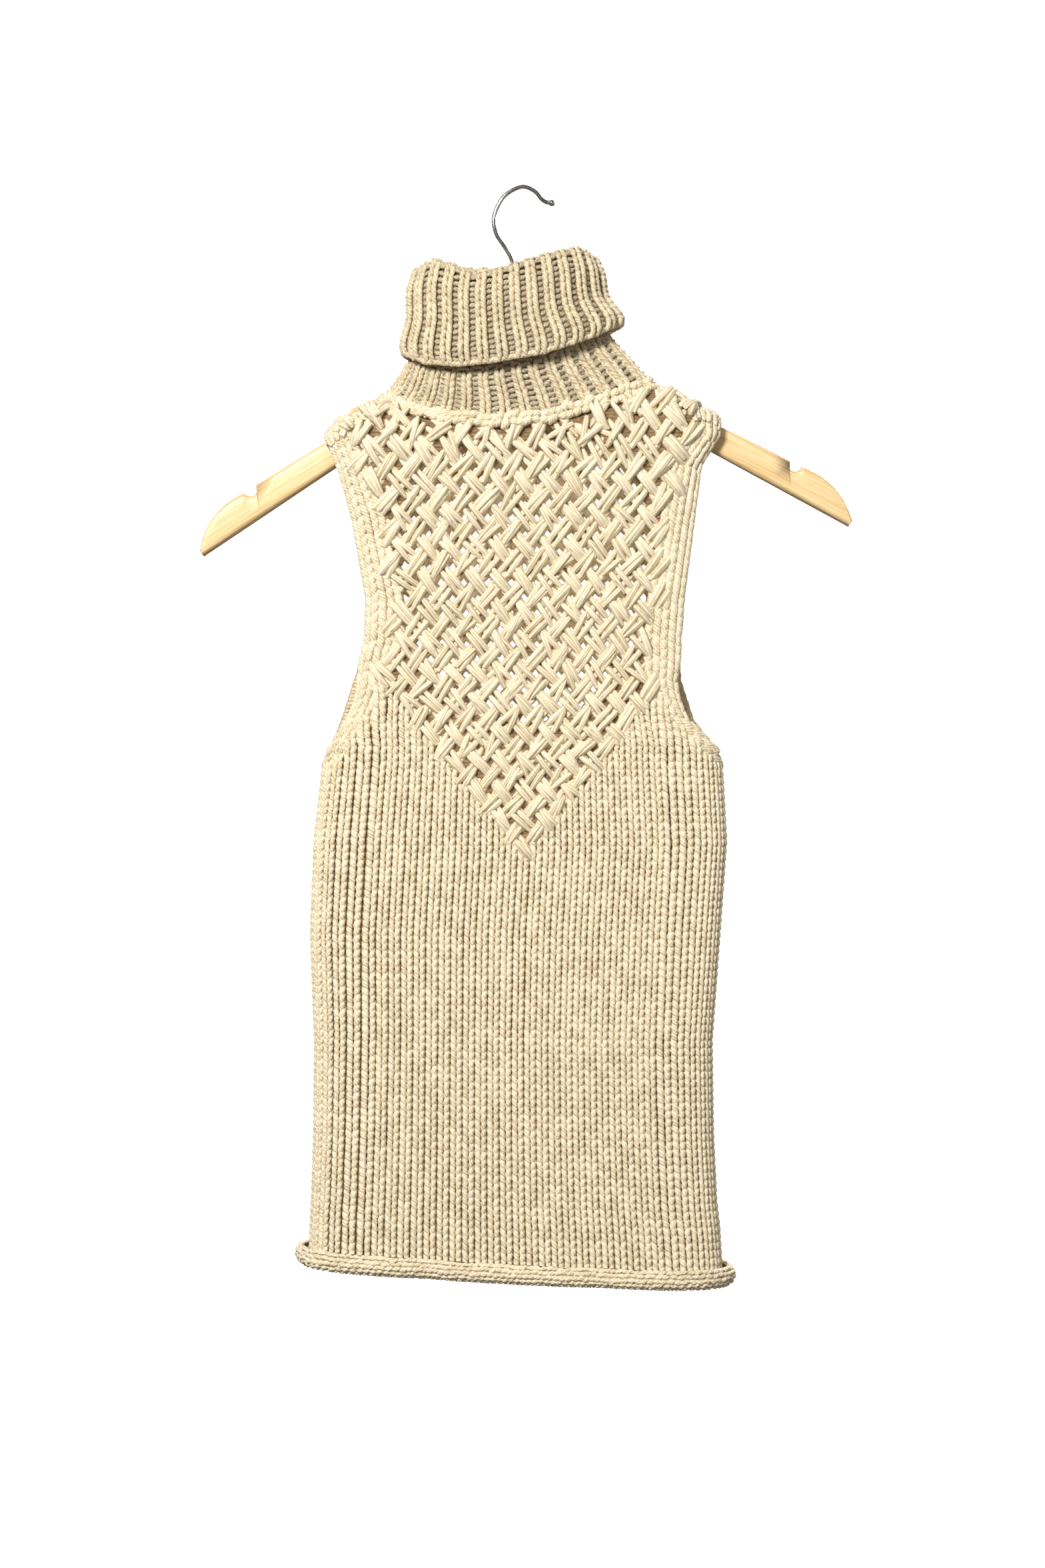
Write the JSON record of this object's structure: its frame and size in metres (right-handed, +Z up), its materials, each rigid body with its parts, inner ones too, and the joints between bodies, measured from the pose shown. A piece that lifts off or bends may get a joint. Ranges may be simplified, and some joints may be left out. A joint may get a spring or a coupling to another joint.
{
  "type": "sleeveless turtleneck sweater on a wooden hanger",
  "caption": "Sleeveless cable-knit turtleneck sweater with a folded rib collar and a rolled hem, hanging on a wooden hanger with a wire hook.",
  "frame": {"origin": "inside top of the hanger's hook, where a rail carries it", "axes": "+X to the right seen from the front, -Y out of the garment's front, +Z up"},
  "size_m": [0.4465, 0.0726, 0.7538],
  "materials": {
    "knit": "thick beige cotton yarn with gold glints, cable lattice and stockinette",
    "rib": "the same yarn in 1 by 1 rib",
    "wood": "pale wood under thin clear varnish",
    "steel": "bright plated wire"
  },
  "bodies": {
    "root": {"front_panel": "knit", "back_panel": "knit", "collar": "rib", "hanger": "wood", "hook": "steel"}
  },
  "joints": []
}
